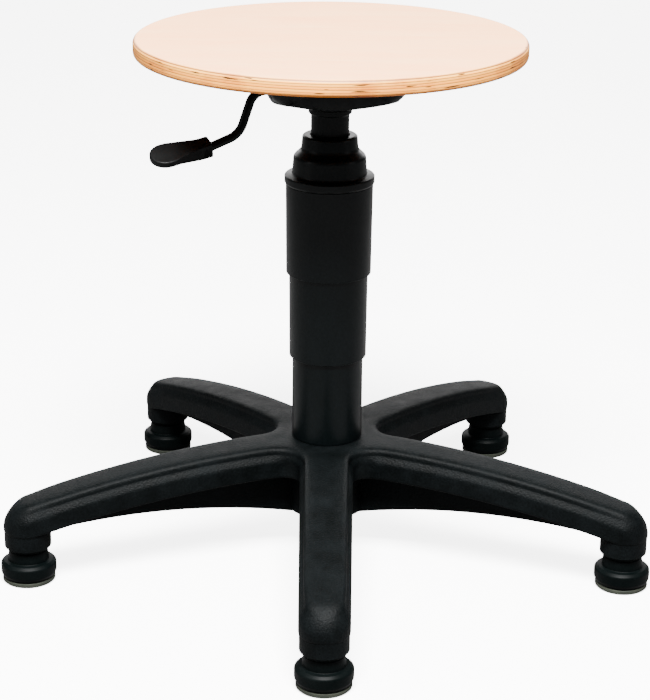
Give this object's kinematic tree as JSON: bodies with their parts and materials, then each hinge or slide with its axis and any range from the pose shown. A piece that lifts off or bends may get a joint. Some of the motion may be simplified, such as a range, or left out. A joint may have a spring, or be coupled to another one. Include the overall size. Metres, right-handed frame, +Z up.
{
  "type": "machinist stool",
  "caption": "Height-adjustable swivel work stool with a round plywood seat, telescopic column cover, release lever and five-star base on floor glides.",
  "frame": {"origin": "on the floor, on the column's axis", "axes": "+Z up along the column; the front arm of the base points along -Y; +X to the right seen from the front"},
  "size_m": [0.5958, 0.5691, 0.4882],
  "materials": {
    "seat_plywood": "clear lacquered beech plywood, bare edge",
    "coated_steel": "black powder coat",
    "zinc_steel": "zinc plated",
    "bright_steel": "ground and polished",
    "spring_steel": "blued",
    "aluminium": "turned",
    "brass": "turned",
    "rubber": "moulded",
    "natural_plastic": "moulded, undyed",
    "cover_plastic": "satin moulded",
    "grip_plastic": "fine moulded grain",
    "base_plastic": "glass-filled, grained",
    "glide_plastic": "satin moulded",
    "pad_plastic": "satin moulded"
  },
  "bodies": {
    "base": {"star_base": "base_plastic", "stand_tube": "coated_steel", "guide_bush": "natural_plastic", "sleeve_lower": "cover_plastic", "bearing_lower_race": "bright_steel", "grip_ring_front": "spring_steel", "grip_ring_right": "spring_steel", "grip_ring_back_right": "spring_steel", "grip_ring_back_left": "spring_steel", "grip_ring_left": "spring_steel"},
    "cover": {"sleeve_upper": "cover_plastic", "sleeve_cap": "cover_plastic"},
    "middle": {"sleeve_middle": "cover_plastic"},
    "seat": {"seat_disc": "seat_plywood", "seat_screws": "zinc_steel", "seat_plate": "coated_steel", "taper_socket": "coated_steel", "lever_bracket": "zinc_steel", "lever_pin": "zinc_steel", "gas_cylinder": "coated_steel", "valve_body": "aluminium", "rod_guide": "natural_plastic", "cover_ring": "natural_plastic"},
    "lever": {"lever_rod": "coated_steel", "lever_grip": "grip_plastic"},
    "button": {"valve_button": "brass"},
    "rod": {"piston_rod": "bright_steel", "piston": "aluminium", "piston_seal": "rubber", "rod_clip": "spring_steel", "rod_washer": "zinc_steel", "bearing_upper_race": "bright_steel", "rubber_buffer": "rubber"},
    "cage": {"bearing_cage": "brass", "bearing_balls": "bright_steel"},
    "glide_front": {"glide_body_front": "glide_plastic", "glide_pad_front": "pad_plastic", "glide_stem_front": "zinc_steel"},
    "glide_right": {"glide_body_right": "glide_plastic", "glide_pad_right": "pad_plastic", "glide_stem_right": "zinc_steel"},
    "glide_back_right": {"glide_body_back_right": "glide_plastic", "glide_pad_back_right": "pad_plastic", "glide_stem_back_right": "zinc_steel"},
    "glide_back_left": {"glide_body_back_left": "glide_plastic", "glide_pad_back_left": "pad_plastic", "glide_stem_back_left": "zinc_steel"},
    "glide_left": {"glide_body_left": "glide_plastic", "glide_pad_left": "pad_plastic", "glide_stem_left": "zinc_steel"}
  },
  "joints": [
    {"name": "seat_height", "type": "slide", "parent": "base", "child": "cover", "axis": [0, 0, 1], "range_m": [-0.118, 0.012]},
    {"name": "middle_sleeve_slide", "type": "slide", "parent": "base", "child": "middle", "axis": [0, 0, 1], "range_m": [-0.059, 0.006]},
    {"name": "seat_swivel", "type": "hinge", "parent": "cover", "child": "seat", "pos_m": [0, 0, 0.38], "axis": [0, 0, 1], "continuous": true},
    {"name": "lever_lift", "type": "hinge", "parent": "seat", "child": "lever", "pos_m": [-0.02719, -0.01268, 0.4455], "axis": [-0.4226, 0.9063, 0], "range_deg": [0, 5], "stiffness_Nm_per_rad": 3, "springref_deg": -2.86},
    {"name": "valve_press", "type": "slide", "parent": "seat", "child": "button", "axis": [0, 0, 1], "range_m": [-0.003, 0]},
    {"name": "rod_turn", "type": "hinge", "parent": "base", "child": "rod", "pos_m": [0, 0, 0.1], "axis": [0, 0, 1], "continuous": true},
    {"name": "cage_turn", "type": "hinge", "parent": "base", "child": "cage", "pos_m": [0, 0, 0.042], "axis": [0, 0, 1], "continuous": true},
    {"name": "glide_turn_front", "type": "hinge", "parent": "base", "child": "glide_front", "pos_m": [0, -0.2866, 0.03], "axis": [0, 0, 1], "continuous": true},
    {"name": "glide_turn_right", "type": "hinge", "parent": "base", "child": "glide_right", "pos_m": [0.27257, -0.08856, 0.03], "axis": [0, 0, 1], "continuous": true},
    {"name": "glide_turn_back_right", "type": "hinge", "parent": "base", "child": "glide_back_right", "pos_m": [0.16846, 0.23186, 0.03], "axis": [0, 0, 1], "continuous": true},
    {"name": "glide_turn_back_left", "type": "hinge", "parent": "base", "child": "glide_back_left", "pos_m": [-0.16846, 0.23186, 0.03], "axis": [0, 0, 1], "continuous": true},
    {"name": "glide_turn_left", "type": "hinge", "parent": "base", "child": "glide_left", "pos_m": [-0.27257, -0.08856, 0.03], "axis": [0, 0, 1], "continuous": true}
  ],
  "couplings": [
    {"joint": "middle_sleeve_slide", "follows": "seat_height", "ratio": 0.5},
    {"joint": "valve_press", "follows": "lever_lift", "m_per_rad": -0.03},
    {"joint": "rod_turn", "follows": "seat_swivel", "ratio": 1},
    {"joint": "cage_turn", "follows": "seat_swivel", "ratio": 0.5}
  ]
}
